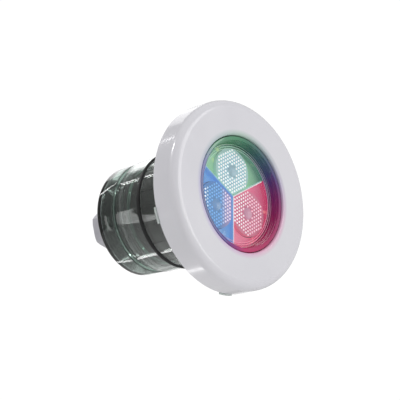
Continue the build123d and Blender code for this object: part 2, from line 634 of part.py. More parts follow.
# ---------------------------------------------------------------- can: casing and heat sink in one
with BuildPart() as can:
    turned(
        (CAN_BORE_RADIUS + CAN_MOUTH_CHAMFER, OPTICS_BORE_END_Y),
        (TUBE_BORE_RADIUS - CAN_LIP_GAP, OPTICS_BORE_END_Y),
        (TUBE_BORE_RADIUS - CAN_LIP_GAP, CAN_LIP_REAR_Y),
        (CAN_RADIUS, CAN_LIP_REAR_Y),
        (CAN_RADIUS, CAN_REAR_Y),
        (CAN_BORE_RADIUS, CAN_REAR_Y),
        (CAN_BORE_RADIUS, WEB_REAR_Y),
        (WIRE_HOLE_RADIUS, WEB_REAR_Y),
        (WIRE_HOLE_RADIUS, WEB_FRONT_Y),
        (CAN_BORE_RADIUS, WEB_FRONT_Y),
        (CAN_BORE_RADIUS, OPTICS_BORE_END_Y + CAN_MOUTH_CHAMFER),
        rounds=(((CAN_RADIUS, CAN_REAR_Y), CAN_WALL / 4),),
    )
    # shallow flutes along the outside, which let the water's cold in and guide the can into its bore
    with BuildSketch(across(FLUTE_FRONT_Y)):
        with PolarLocations(CAN_RADIUS, FLUTE_COUNT, start_angle=FLUTE_FIRST_ANGLE):
            Rectangle(2 * FLUTE_DEPTH, FLUTE_WIDTH)
    extrude(amount=-(FLUTE_REAR_Y - FLUTE_FRONT_Y), mode=Mode.SUBTRACT)
    with BuildSketch(across(WEB_FRONT_Y)):
        with PolarLocations(BOARD_SCREW_CIRCLE, SCREW_COUNT, start_angle=BOARD_SCREW_FIRST_ANGLE):
            Circle(BOARD_SCREW_RADIUS)
        with PolarLocations(STANDOFF_CIRCLE, STANDOFF_COUNT, start_angle=STANDOFF_FIRST_ANGLE):
            Circle(BOARD_SCREW_RADIUS)
    extrude(amount=-WEB_THICKNESS, mode=Mode.SUBTRACT)
save(can.part, "can")

# ---------------------------------------------------------------- LED board
with BuildPart() as thermal_pad:
    with BuildSketch(across(BOARD_REAR_Y)):
        Circle(BOARD_RADIUS)
        Circle(WIRE_HOLE_RADIUS, mode=Mode.SUBTRACT)
        with PolarLocations(BOARD_SCREW_CIRCLE, SCREW_COUNT, start_angle=BOARD_SCREW_FIRST_ANGLE):
            Circle(BOARD_SCREW_RADIUS + BOARD_GAP, mode=Mode.SUBTRACT)
    extrude(amount=-PAD_SHEET_THICKNESS)
save(thermal_pad.part, "thermal_pad")

with BuildPart() as led_board:
    with BuildSketch(across(BOARD_FRONT_Y)):
        Circle(BOARD_RADIUS)
        Circle(WIRE_HOLE_RADIUS, mode=Mode.SUBTRACT)
        with PolarLocations(BOARD_SCREW_CIRCLE, SCREW_COUNT, start_angle=BOARD_SCREW_FIRST_ANGLE):
            Circle(BOARD_SCREW_RADIUS + BOARD_GAP, mode=Mode.SUBTRACT)
    extrude(amount=-BOARD_THICKNESS)
save(led_board.part, "led_board")

for colour, angle in COLOURS.items():
    with BuildPart() as led:
        with BuildSketch(across(LED_TOP_Y)):
            with Locations(on_circle(OPTIC_CIRCLE_RADIUS, angle)):
                RectangleRounded(LED_SIDE, LED_SIDE, LED_SIDE / 10)
        extrude(amount=-LED_BASE)
        with Locations(in_space(OPTIC_CIRCLE_RADIUS, angle, LED_TOP_Y)):
            Sphere(LED_DOME_RADIUS)
        with BuildSketch(across(BOARD_FRONT_Y)):
            with Locations(on_circle(OPTIC_CIRCLE_RADIUS, angle)):
                Circle(LED_DOME_RADIUS)
        extrude(amount=-LED_DOME_RADIUS, mode=Mode.SUBTRACT)
    save(led.part, f"led_{colour}")

with BuildPart() as board_screws:
    screws(BOARD_FRONT_Y, BOARD_SCREW_CIRCLE, BOARD_SCREW_FIRST_ANGLE, BOARD_SCREW_LENGTH)
save(board_screws.part, "board_screws")

# ---------------------------------------------------------------- driver board and what stands on it
with BuildPart() as standoffs:
    with BuildSketch(across(WEB_REAR_Y)):
        with PolarLocations(STANDOFF_CIRCLE, STANDOFF_COUNT, start_angle=STANDOFF_FIRST_ANGLE):
            RegularPolygon(STANDOFF_FLATS / 2, 6, major_radius=False)
    extrude(amount=-(DRIVER_FRONT_Y - WEB_REAR_Y))
    with BuildSketch(across(WEB_REAR_Y - STANDOFF_STUD_LENGTH)):
        with PolarLocations(STANDOFF_CIRCLE, STANDOFF_COUNT, start_angle=STANDOFF_FIRST_ANGLE):
            Circle(BOARD_SCREW_RADIUS)
    extrude(amount=-STANDOFF_STUD_LENGTH)
    with BuildSketch(across(DRIVER_FRONT_Y)):
        with PolarLocations(STANDOFF_CIRCLE, STANDOFF_COUNT, start_angle=STANDOFF_FIRST_ANGLE):
            Circle(BOARD_SCREW_RADIUS)
    extrude(amount=DRIVER_SCREW_LENGTH - DRIVER_THICKNESS, mode=Mode.SUBTRACT)
save(standoffs.part, "standoffs")

with BuildPart() as driver_board:
    with BuildSketch(across(DRIVER_FRONT_Y)):
        Circle(DRIVER_RADIUS)
        with PolarLocations(STANDOFF_CIRCLE, STANDOFF_COUNT, start_angle=STANDOFF_FIRST_ANGLE):
            Circle(BOARD_SCREW_RADIUS + BOARD_GAP, mode=Mode.SUBTRACT)
    extrude(amount=-DRIVER_THICKNESS)
save(driver_board.part, "driver_board")

with BuildPart() as driver_screws:
    screws(DRIVER_REAR_Y, STANDOFF_CIRCLE, STANDOFF_FIRST_ANGLE, DRIVER_SCREW_LENGTH, rearward=True)
save(driver_screws.part, "driver_screws")

with BuildPart() as inductor:
    with BuildSketch(across(DRIVER_REAR_Y)):
        with Locations(INDUCTOR_PLACE):
            Circle(INDUCTOR_RADIUS)
    extrude(amount=-INDUCTOR_HEIGHT)
    with BuildSketch(across(DRIVER_REAR_Y + INDUCTOR_FLANGE)):
        with Locations(INDUCTOR_PLACE):
            Circle(INDUCTOR_RADIUS)
            Circle(INDUCTOR_RADIUS - INDUCTOR_WAIST, mode=Mode.SUBTRACT)
    extrude(amount=-(INDUCTOR_HEIGHT - 2 * INDUCTOR_FLANGE), mode=Mode.SUBTRACT)
save(inductor.part, "inductor")

with BuildPart() as inductor_coil:
    with BuildSketch(across(DRIVER_REAR_Y + INDUCTOR_FLANGE)):
        with Locations(INDUCTOR_PLACE):
            Circle(INDUCTOR_RADIUS - INDUCTOR_FLANGE / 2)
            Circle(INDUCTOR_RADIUS - INDUCTOR_WAIST, mode=Mode.SUBTRACT)
    extrude(amount=-(INDUCTOR_HEIGHT - 2 * INDUCTOR_FLANGE))
save(inductor_coil.part, "inductor_coil")

with BuildPart() as capacitors:
    with BuildSketch(across(DRIVER_REAR_Y)):
        with Locations(*CAPACITOR_PLACES):
            Circle(CAPACITOR_RADIUS)
    extrude(amount=-CAPACITOR_HEIGHT)
    fillet(capacitors.edges().group_by(Axis.Y)[-1], CAPACITOR_RADIUS / 8)
save(capacitors.part, "capacitors")

with BuildPart() as control_chip:
    with BuildSketch(across(DRIVER_FRONT_Y - CHIP_SIZE[2])):
        with Locations(CHIP_PLACE):
            Rectangle(CHIP_SIZE[0], CHIP_SIZE[1])
    extrude(amount=-CHIP_SIZE[2])
    chamfer(control_chip.edges().group_by(Axis.Y)[0], CHIP_SIZE[2] / 6)
save(control_chip.part, "control_chip")

with BuildPart() as terminal_block:
    with BuildSketch(across(DRIVER_REAR_Y)):
        with Locations(TERMINAL_PLACE):
            Rectangle(TERMINAL_SIZE[0], TERMINAL_SIZE[1])
    extrude(amount=-TERMINAL_SIZE[2])
    # two wells for the clamp screws in the rear face
    with BuildSketch(across(DRIVER_REAR_Y + TERMINAL_SIZE[2])):
        with Locations(*TERMINAL_WELLS):
            Circle(TERMINAL_SCREW_RADIUS + REFLECTOR_GAP)
    extrude(amount=TERMINAL_WELL_DEPTH, mode=Mode.SUBTRACT)
save(terminal_block.part, "terminal_block")

with BuildPart() as terminal_screws:
    with BuildSketch(across(DRIVER_REAR_Y + TERMINAL_SIZE[2] - TERMINAL_WELL_DEPTH)):
        with Locations(*TERMINAL_WELLS):
            Circle(TERMINAL_SCREW_RADIUS)
    extrude(amount=-TERMINAL_HEAD_HEIGHT)
    with BuildSketch(across(DRIVER_REAR_Y + TERMINAL_SIZE[2] - TERMINAL_WELL_DEPTH + TERMINAL_HEAD_HEIGHT)):
        with Locations(*TERMINAL_WELLS):
            Rectangle(2 * TERMINAL_SCREW_RADIUS, SCREW_SLOT_WIDTH)
    extrude(amount=TERMINAL_HEAD_HEIGHT / 2, mode=Mode.SUBTRACT)
save(terminal_screws.part, "terminal_screws")

# leads from the driver board through the web to the pads round the LED board's wire hole
with BuildPart() as led_leads:
    for index in range(LEAD_COUNT):
        angle = LEAD_FIRST_ANGLE + index * 360 / LEAD_COUNT
        inner = in_space(LEAD_SPACING / 2 + LEAD_RADIUS, angle, DRIVER_FRONT_Y)
        top = in_space(LEAD_SPACING / 2 + LEAD_RADIUS, angle, BOARD_FRONT_Y - LEAD_RISE)
        over = in_space(LEAD_PAD_CIRCLE, angle, BOARD_FRONT_Y - LEAD_RISE)
        down = in_space(LEAD_PAD_CIRCLE, angle, BOARD_FRONT_Y)
        with BuildLine() as route:
            FilletPolyline(inner, top, over, down, radius=LEAD_BEND)
        with BuildSketch(across(DRIVER_FRONT_Y)) as lead_section:
            with Locations(on_circle(LEAD_SPACING / 2 + LEAD_RADIUS, angle)):
                Circle(LEAD_RADIUS)
        sweep(lead_section.sketch, path=route.line)
save(led_leads.part, "led_leads")

# resin cast in the rear cap behind the can, round the gland's lock nut
with BuildPart() as potting_plug:
    with BuildSketch(across(CAN_REAR_Y)):
        Circle(CAP_BORE_RADIUS)
        Circle(LOCKNUT_CORNER_RADIUS + POTTING_HOLE_GAP, mode=Mode.SUBTRACT)
    extrude(amount=-(CAP_INNER_Y - CAN_REAR_Y))
save(potting_plug.part, "potting_plug")

# ---------------------------------------------------------------- rear cap and its seal
with BuildPart() as cap_seal:
    with BuildSketch(Plane.XY):
        with Locations((CAP_SEAL_GROOVE_RADIUS + CAP_SEAL_GROOVE / 2, CAP_SEAL_Y)):
            Circle(CAP_SEAL_GROOVE / 2)
    revolve(axis=Axis.Y)
save(cap_seal.part, "cap_seal")

with BuildPart() as rear_cap:
    turned(
        (CAP_BORE_RADIUS, CAP_SPIGOT_FRONT_Y),
        (CAP_SPIGOT_RADIUS, CAP_SPIGOT_FRONT_Y),
        (CAP_SPIGOT_RADIUS, CAP_SEAL_Y - CAP_SEAL_SECTION / 2),
        (CAP_SEAL_GROOVE_RADIUS, CAP_SEAL_Y - CAP_SEAL_SECTION / 2),
        (CAP_SEAL_GROOVE_RADIUS, CAP_SEAL_Y + CAP_SEAL_SECTION / 2),
        (CAP_SPIGOT_RADIUS, CAP_SEAL_Y + CAP_SEAL_SECTION / 2),
        (CAP_SPIGOT_RADIUS, CAP_NECK_FRONT_Y),
        (CAP_NECK_RADIUS, CAP_NECK_FRONT_Y),
        (CAP_NECK_RADIUS, CAP_NECK_END_Y),
        (CAP_RADIUS, CAP_NECK_END_Y),
        (CAP_RADIUS, CAP_REAR_Y),
        (GLAND_THREAD_RADIUS + GLAND_THREAD_GAP, CAP_REAR_Y),
        (GLAND_THREAD_RADIUS + GLAND_THREAD_GAP, CAP_INNER_Y),
        (CAP_BORE_RADIUS, CAP_INNER_Y),
        rounds=(
            ((CAP_RADIUS, CAP_NECK_END_Y), CAP_FRONT_ROUND),
            ((CAP_RADIUS, CAP_REAR_Y), CAP_REAR_ROUND),
        ),
    )
save(rear_cap.part, "rear_cap")

# ---------------------------------------------------------------- cable gland
with BuildPart() as gland_washer:
    turned(
        (GLAND_THREAD_RADIUS + GLAND_THREAD_GAP, CAP_REAR_Y),
        (GLAND_WASHER_RADIUS, CAP_REAR_Y),
        (GLAND_WASHER_RADIUS, GLAND_HEX_Y),
        (GLAND_THREAD_RADIUS + GLAND_THREAD_GAP, GLAND_HEX_Y),
    )
save(gland_washer.part, "gland_washer")

with BuildPart() as gland_body:
    hexagon(GLAND_HEX_Y, GLAND_HEX_LENGTH, GLAND_FLATS, chamfered_ends=True)
    with BuildSketch(across(GLAND_FRONT_Y)):
        Circle(GLAND_THREAD_RADIUS)
    extrude(amount=-(GLAND_THREAD_END_Y - GLAND_FRONT_Y))
    with BuildSketch(across(GLAND_FRONT_Y)):
        Circle(GLAND_BORE_RADIUS)
    extrude(amount=-(GLAND_THREAD_END_Y - GLAND_FRONT_Y), mode=Mode.SUBTRACT)
    with BuildSketch(across(GLAND_SEAT_Y)):
        Circle(GLAND_SEAT_RADIUS)
    extrude(amount=-(GLAND_THREAD_END_Y - GLAND_SEAT_Y), mode=Mode.SUBTRACT)
save(gland_body.part, "gland_body")

with BuildPart() as gland_locknut:
    hexagon(LOCKNUT_Y, LOCKNUT_THICKNESS, LOCKNUT_FLATS, chamfered_ends=True)
    with BuildSketch(across(LOCKNUT_Y)):
        Circle(GLAND_THREAD_RADIUS + GLAND_THREAD_GAP)
    extrude(amount=-LOCKNUT_THICKNESS, mode=Mode.SUBTRACT)
save(gland_locknut.part, "gland_locknut")

with BuildPart() as gland_seal:
    turned(
        (CABLE_RADIUS, GLAND_SEAT_Y),
        (GLAND_SEAT_RADIUS - GLAND_SEAL_GAP, GLAND_SEAT_Y),
        (GLAND_SEAT_RADIUS - GLAND_SEAL_GAP, CLAMP_RING_Y),
        (CABLE_RADIUS, CLAMP_RING_Y),
    )
save(gland_seal.part, "gland_seal")

with BuildPart() as gland_clamp_ring:
    turned(
        (CLAMP_RING_BORE, CLAMP_RING_Y),
        (GLAND_NUT_BORE - CLAMP_RING_GAP, CLAMP_RING_Y),
        (GLAND_NUT_BORE - CLAMP_RING_GAP, CLAMP_RING_Y + CLAMP_RING_LENGTH),
        (CLAMP_RING_BORE, CLAMP_RING_Y + CLAMP_RING_LENGTH),
    )
    with BuildSketch(across(CLAMP_RING_Y)):
        with PolarLocations(CLAMP_RING_BORE, CLAMP_SLOT_COUNT):
            Rectangle(CLAMP_SLOT_REACH, CLAMP_SLOT_WIDTH)
    extrude(amount=-CLAMP_RING_LENGTH, mode=Mode.SUBTRACT)
save(gland_clamp_ring.part, "gland_clamp_ring")

with BuildPart() as gland_nut:
    hexagon(GLAND_NUT_Y, GLAND_NUT_LENGTH, GLAND_FLATS, chamfered_ends=True)
    with BuildSketch(across(GLAND_NUT_Y)):
        Circle(GLAND_NUT_BORE)
    extrude(amount=-(GLAND_NUT_BORE_END_Y - GLAND_NUT_Y), mode=Mode.SUBTRACT)
    with BuildSketch(across(GLAND_NUT_BORE_END_Y)):
        Circle(GLAND_NUT_END_HOLE)
    extrude(amount=-GLAND_NUT_END_WALL, mode=Mode.SUBTRACT)
save(gland_nut.part, "gland_nut")
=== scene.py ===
from math import cos, pi, radians, sin, sqrt

import bpy
import bmesh
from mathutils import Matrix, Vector


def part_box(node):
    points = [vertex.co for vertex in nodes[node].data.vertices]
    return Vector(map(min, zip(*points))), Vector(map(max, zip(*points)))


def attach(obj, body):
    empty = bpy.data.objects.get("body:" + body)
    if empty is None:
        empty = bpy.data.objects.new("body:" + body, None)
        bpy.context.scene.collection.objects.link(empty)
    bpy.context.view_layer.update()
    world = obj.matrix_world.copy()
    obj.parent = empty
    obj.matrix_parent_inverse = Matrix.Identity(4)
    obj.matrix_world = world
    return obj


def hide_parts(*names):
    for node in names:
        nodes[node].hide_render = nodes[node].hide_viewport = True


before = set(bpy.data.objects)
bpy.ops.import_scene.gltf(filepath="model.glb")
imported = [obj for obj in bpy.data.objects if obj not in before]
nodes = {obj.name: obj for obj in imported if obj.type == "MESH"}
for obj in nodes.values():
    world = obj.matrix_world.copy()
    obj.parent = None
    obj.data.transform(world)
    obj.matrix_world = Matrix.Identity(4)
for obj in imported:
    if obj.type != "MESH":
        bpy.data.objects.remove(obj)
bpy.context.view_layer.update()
MM = 0.001

# Angles about the lamp's axis are counted from +X towards +Z, as seen from the front.
SECTORS = {"green": 90, "blue": 210, "red": 330}
HALF_SECTOR = radians(60)


# ---------------------------------------------------------------- camera, floor and light
CAMERA_AZIMUTH = radians(-46)
CAMERA_ELEVATION = radians(-16)
CAMERA_DISTANCE = 0.871
CAMERA_LENS = 150
CAMERA_AIM = Vector((-0.003, 0.012, 0.0015))
FLOOR_Z = -1.0
FLOOR_SIZE = 6.0
FLOOR_GREY = 0.9
FLOOR_GLOW = 0.1  # keeps the floor pale under the dim belt of the room
SENSOR_WIDTH = 36
CLIP_END = 20


def add_camera():
    """A long lens to the left of the lamp's axis and a little below it."""
    back = Vector((
        sin(CAMERA_AZIMUTH) * cos(CAMERA_ELEVATION),
        -cos(CAMERA_AZIMUTH) * cos(CAMERA_ELEVATION),
        sin(CAMERA_ELEVATION),
    ))
    data = bpy.data.cameras.new("camera")
    data.lens = CAMERA_LENS
    data.sensor_width = SENSOR_WIDTH
    data.clip_end = CLIP_END
    camera = bpy.data.objects.new("camera", data)
    camera.location = CAMERA_AIM + back * CAMERA_DISTANCE
    camera.rotation_euler = back.to_track_quat("Z", "Y").to_euler()
    bpy.context.scene.collection.objects.link(camera)
    bpy.context.scene.camera = camera


def add_softbox(name, place, aim, width, height, power):
    """A rectangular area light at place that faces aim. Sizes are in metres, power in watts."""
    data = bpy.data.lights.new(name, "AREA")
    data.shape = "RECTANGLE"
    data.size = width
    data.size_y = height
    data.energy = power
    lamp = bpy.data.objects.new(name, data)
    lamp.location = place
    way = Vector(place) - Vector(aim)
    lamp.rotation_euler = way.to_track_quat("Z", "Y").to_euler()
    bpy.context.scene.collection.objects.link(lamp)


def add_floor():
    """A plain pale floor well below the lamp, which a wall would hold."""
    mesh = bpy.data.meshes.new("floor")
    half = FLOOR_SIZE / 2
    corners = [(-half, -half, FLOOR_Z), (half, -half, FLOOR_Z), (half, half, FLOOR_Z), (-half, half, FLOOR_Z)]
    mesh.from_pydata(corners, [], [(0, 1, 2, 3)])
    floor = bpy.data.objects.new("floor", mesh)
    bpy.context.scene.collection.objects.link(floor)
    look = Look("floor_paint")
    look.set(base=(FLOOR_GREY,) * 3, roughness=0.7, emission=(1, 1, 1), glow=FLOOR_GLOW)
    floor.data.materials.append(look.material)


WORLD_BRIGHT = 1.05
WORLD_PALE = 0.6
WORLD_DIM = 0.33  # the belt behind the lamp that its side wall and tube mirror
BELT_FRONT = (0.2, 0.5)  # between these two Y parts of a direction the room fades to the belt
BELT_REAR = (0.8, 0.93)
BACKDROP_WAY = Vector((0.692, 0.668, 0.276))  # from the lamp to the middle of the bright backdrop
BACKDROP_EDGE = radians(27)
BACKDROP_CORE = radians(13)


def add_world():
    """A pale room with a dimmer belt behind the lamp, and a white backdrop behind its right side."""
    world = bpy.data.worlds.new("studio")
    bpy.context.scene.world = world
    world.use_nodes = True
    tree = world.node_tree
    tree.nodes.clear()
    way = tree.nodes.new("ShaderNodeTexCoord").outputs["Generated"]

    def fade(value, start, end, low, high):
        """A number that goes smoothly from low to high as value goes from start to end."""
        ranged = tree.nodes.new("ShaderNodeMapRange")
        ranged.interpolation_type = "SMOOTHSTEP"
        for socket, number in (("From Min", start), ("From Max", end), ("To Min", low), ("To Max", high)):
            ranged.inputs[socket].default_value = number
        tree.links.new(value, ranged.inputs["Value"])
        return ranged.outputs["Result"]

    split = tree.nodes.new("ShaderNodeSeparateXYZ")
    tree.links.new(way, split.inputs[0])
    front = fade(split.outputs["Y"], *BELT_FRONT, WORLD_PALE, WORLD_DIM)
    rear = fade(split.outputs["Y"], *BELT_REAR, 0, WORLD_PALE)
    toward = tree.nodes.new("ShaderNodeVectorMath")
    toward.operation = "DOT_PRODUCT"
    toward.inputs[1].default_value = BACKDROP_WAY
    tree.links.new(way, toward.inputs[0])
    backdrop = fade(toward.outputs["Value"], cos(BACKDROP_EDGE), cos(BACKDROP_CORE), 0, WORLD_BRIGHT)
    brightest = front
    for part in (rear, backdrop):
        brighter = tree.nodes.new("ShaderNodeMath")
        brighter.operation = "MAXIMUM"
        tree.links.new(brightest, brighter.inputs[0])
        tree.links.new(part, brighter.inputs[1])
        brightest = brighter.outputs[0]
    shine = tree.nodes.new("ShaderNodeBackground")
    shine.inputs["Color"].default_value = (1, 1, 1, 1)
    out = tree.nodes.new("ShaderNodeOutputWorld")
    tree.links.new(brightest, shine.inputs["Strength"])
    tree.links.new(shine.outputs[0], out.inputs[0])


# ---------------------------------------------------------------- material tools
SUBSURFACE_REACH = 4 * MM
SUBSURFACE_SCALE = 0.5


class Look:
    """A procedural material: one Principled shader and the textures that feed it."""

    def __init__(self, name):
        self.material = bpy.data.materials.new(name)
        self.material.use_nodes = True
        self.tree = self.material.node_tree
        self.tree.nodes.clear()
        self.shader = self.tree.nodes.new("ShaderNodeBsdfPrincipled")
        self.out = self.tree.nodes.new("ShaderNodeOutputMaterial")
        self.link(self.shader.outputs[0], self.out.inputs["Surface"])
        place = self.tree.nodes.new("ShaderNodeTexCoord")
        self.place = place.outputs["Object"]

    def node(self, kind, **settings):
        made = self.tree.nodes.new(kind)
        for key, value in settings.items():
            setattr(made, key, value)
        return made

    def link(self, a, b):
        self.tree.links.new(a, b)

    def set(self, base=None, roughness=None, metallic=None, coat=None, coat_roughness=None, ior=None,
            transmission=None, emission=None, glow=None, specular=None, subsurface=None):
        """Values that are the same all over the surface."""
        sockets = self.shader.inputs
        if base:
            sockets["Base Color"].default_value = (*base, 1)
        if emission:
            sockets["Emission Color"].default_value = (*emission, 1)
        plain = {
            "Roughness": roughness, "Metallic": metallic, "IOR": ior,
            "Coat Weight": coat, "Coat Roughness": coat_roughness,
            "Transmission Weight": transmission, "Emission Strength": glow,
            "Specular IOR Level": specular, "Subsurface Weight": subsurface,
        }
        for socket, value in plain.items():
            if value is not None:
                sockets[socket].default_value = value
        if subsurface:
            sockets["Subsurface Radius"].default_value = (SUBSURFACE_REACH,) * 3
            sockets["Subsurface Scale"].default_value = SUBSURFACE_SCALE

    def noise(self, scale, detail=3, stretch=(1, 1, 1)):
        """A noise value over the object, in cycles per metre, squeezed along each axis by stretch."""
        mapping = self.node("ShaderNodeMapping")
        mapping.inputs["Scale"].default_value = stretch
        self.link(self.place, mapping.inputs["Vector"])
        noise = self.node("ShaderNodeTexNoise")
        noise.inputs["Scale"].default_value = scale
        noise.inputs["Detail"].default_value = detail
        self.link(mapping.outputs[0], noise.inputs["Vector"])
        return noise.outputs["Fac"]

    def spread(self, value, low, high, start=0.3, end=0.7):
        """value from start to end becomes a number from low to high."""
        ranged = self.node("ShaderNodeMapRange")
        ranged.inputs["From Min"].default_value = start
        ranged.inputs["From Max"].default_value = end
        ranged.inputs["To Min"].default_value = low
        ranged.inputs["To Max"].default_value = high
        self.link(value, ranged.inputs["Value"])
        return ranged.outputs[0]

    def ramp(self, value, stops):
        """value from 0 to 1 becomes a colour. stops are (place, (r, g, b))."""
        ramp = self.node("ShaderNodeValToRGB")
        while len(ramp.color_ramp.elements) < len(stops):
            ramp.color_ramp.elements.new(0.5)
        for element, (place, colour) in zip(ramp.color_ramp.elements, stops):
            element.position = place
            element.color = (*colour, 1)
        self.link(value, ramp.inputs["Fac"])
        return ramp.outputs["Color"]

    def vary(self, value, colour_a, colour_b, start=0.3, end=0.7):
        """A base colour that runs from colour_a to colour_b as value does from start to end."""
        colour = self.ramp(value, [(start, colour_a), (end, colour_b)])
        self.link(colour, self.shader.inputs["Base Color"])
        return colour

    def vary_roughness(self, value, low, high):
        self.link(self.spread(value, low, high), self.shader.inputs["Roughness"])

    def mix(self, share, a, b):
        """A colour that goes from a to b as share goes from 0 to 1. a and b are colours or sockets."""
        mix = self.node("ShaderNodeMix", data_type="RGBA")
        self.link(share, mix.inputs["Factor"])
        for socket, colour in (("A", a), ("B", b)):
            if isinstance(colour, tuple):
                mix.inputs[socket].default_value = (*colour, 1)
            else:
                self.link(colour, mix.inputs[socket])
        return mix.outputs["Result"]

    def lit(self, colour):
        """The same colour lights and paints the surface."""
        self.link(colour, self.shader.inputs["Base Color"])
        self.link(colour, self.shader.inputs["Emission Color"])

    def axis(self, name):
        """How far a point is along X, Y or Z, in metres."""
        split = self.node("ShaderNodeSeparateXYZ")
        self.link(self.place, split.inputs[0])
        return split.outputs[name]

    def bump(self, value, height, strength=1.0):
        """A bump of that height in metres."""
        bump = self.node("ShaderNodeBump")
        bump.inputs["Distance"].default_value = height
        bump.inputs["Strength"].default_value = strength
        self.link(value, bump.inputs["Height"])
        self.link(bump.outputs[0], self.shader.inputs["Normal"])

    def angle(self):
        """The angle about the lamp's axis, as a share of a turn: 0 at -X, 0.25 at -Z, 0.5 at +X, 0.75 at +Z.
        """
        split = self.node("ShaderNodeSeparateXYZ")
        self.link(self.place, split.inputs[0])
        turn = self.node("ShaderNodeMath", operation="ARCTAN2")
        self.link(split.outputs["Z"], turn.inputs[0])
        self.link(split.outputs["X"], turn.inputs[1])
        return self.spread(turn.outputs[0], 0, 1, -pi, pi)

    def radius(self):
        """The distance from the lamp's axis, in metres."""
        flat = self.node("ShaderNodeVectorMath", operation="MULTIPLY")
        flat.inputs[1].default_value = (1, 0, 1)
        self.link(self.place, flat.inputs[0])
        length = self.node("ShaderNodeVectorMath", operation="LENGTH")
        self.link(flat.outputs["Vector"], length.inputs[0])
        return length.outputs["Value"]


SRGB_STRAIGHT = 10 / 255  # below this the screen curve is a straight line


def srgb(red, green, blue):
    """A colour given as 0 to 255 screen values, as the linear values that shaders take."""
    shares = (part / 255 for part in (red, green, blue))
    return tuple(
        ((share + 0.055) / 1.055) ** 2.4 if share > SRGB_STRAIGHT else share / 12.92 for share in shares
    )


def dress(name, look):
    """Give a CAD node, or any other object, that material."""
    piece = nodes[name] if isinstance(name, str) else name
    piece.data.materials.clear()
    piece.data.materials.append(look.material)


# ---------------------------------------------------------------- plastics and rubber
# Colours run round the axis as (share of a turn, screen colour), with shares as Look.angle gives them.
SPILL_INNER = 30.6 * MM
SPILL_OUTER = 34.0 * MM
SPILL_STRENGTH = 0.85
SPILL = [
    (0.0, (168, 160, 212)), (0.12, (176, 156, 214)), (0.22, (214, 160, 208)), (0.34, (236, 158, 194)),
    (0.46, (214, 138, 182)), (0.56, (150, 132, 176)), (0.64, (128, 146, 156)), (0.76, (150, 190, 166)),
    (0.90, (160, 180, 192)), (1.0, (168, 160, 212)),
]


def white_shell(spill=False):
    """Glossy injection-moulded ABS. With spill, the lamps' colours fall on it round the opening."""
    look = Look("white_abs_front" if spill else "white_abs")
    look.set(roughness=0.2, coat=0.35, coat_roughness=0.07, ior=1.5)
    plain = look.vary(look.noise(18, detail=2), srgb(218, 217, 223), srgb(225, 224, 229))
    if spill:
        tint = look.ramp(look.angle(), [(place, srgb(*colour)) for place, colour in SPILL])
        near = look.spread(look.radius(), SPILL_STRENGTH, 0, SPILL_INNER, SPILL_OUTER)
        look.link(look.mix(near, plain, tint), look.shader.inputs["Base Color"])
    look.vary_roughness(look.noise(90), 0.16, 0.26)
    look.bump(look.noise(900, detail=2), 0.00001, 0.5)
    return look


def clear_shell(name, tint, density):
    """Clear polycarbonate: thin walls show as good as colourless, and edges go green."""
    look = Look(name)
    look.set(base=tint, roughness=0.0, ior=1.58, transmission=1.0)
    depth = look.node("ShaderNodeVolumeAbsorption")
    depth.inputs["Color"].default_value = (*srgb(104, 150, 132), 1)
    depth.inputs["Density"].default_value = density
    look.link(depth.outputs[0], look.out.inputs["Volume"])
    return look


def rubber():
    """Black nitrile with a dry, slightly mottled surface."""
    look = Look("black_nitrile")
    look.set(specular=0.4)
    look.vary(look.noise(600), srgb(14, 14, 15), srgb(30, 31, 31))
    look.vary_roughness(look.noise(300), 0.38, 0.6)
    look.bump(look.noise(2500), 0.00002, 0.6)
    return look


def silicone():
    """Clear silicone with a grey cast."""
    look = Look("clear_silicone")
    look.set(base=srgb(120, 128, 124), roughness=0.2, ior=1.41, transmission=0.8)
    look.bump(look.noise(800), 0.00002, 0.5)
    return look


def soft_pads():
    """Clear soft PVC that takes up a green cast."""
    look = Look("clear_soft_pvc")
    look.set(roughness=0.22, ior=1.5, transmission=0.35, coat=0.3)
    look.vary(look.noise(300), srgb(216, 226, 222), srgb(234, 240, 238))
    look.bump(look.noise(700), 0.00002, 0.5)
    return look


def gland_nylon():
    """Light grey nylon with a fine spark-eroded texture."""
    look = Look("grey_nylon")
    look.set(ior=1.53, subsurface=0.05)
    look.vary(look.noise(120), srgb(176, 175, 182), srgb(190, 189, 196))
    look.vary_roughness(look.noise(500), 0.34, 0.48)
    look.bump(look.noise(3200, detail=4), 0.00003, 0.7)
    return look


def plain_plastic(name, dark, light, roughness=(0.35, 0.5), scale=400):
    """Moulded plastic or resin whose colour runs from dark to light."""
    look = Look(name)
    look.vary(look.noise(scale), dark, light)
    look.vary_roughness(look.noise(scale * 1.7), *roughness)
    look.bump(look.noise(scale * 4), 0.00002, 0.5)
    return look


# ---------------------------------------------------------------- metals and boards
def anodised():
    """Dark grey coated aluminium, turned, so its fine lines run round the axis."""
    look = Look("coated_can")
    look.set(metallic=0.0, specular=0.35)
    grain = look.noise(260, detail=4, stretch=(0.15, 6, 0.15))
    look.vary(grain, srgb(48, 52, 48), srgb(60, 64, 60))
    look.vary_roughness(look.noise(500, stretch=(0.3, 4, 0.3)), 0.3, 0.45)
    look.bump(grain, 0.00001, 0.3)
    return look


def bare_metal(name, dark, light, roughness=(0.2, 0.4)):
    """Bright metal with fine tool marks."""
    look = Look(name)
    look.set(metallic=1.0)
    grain = look.noise(1500, detail=4, stretch=(1, 0.2, 1))
    look.vary(grain, dark, light)
    look.vary_roughness(grain, *roughness)
    look.bump(grain, 0.000008, 0.5)
    return look


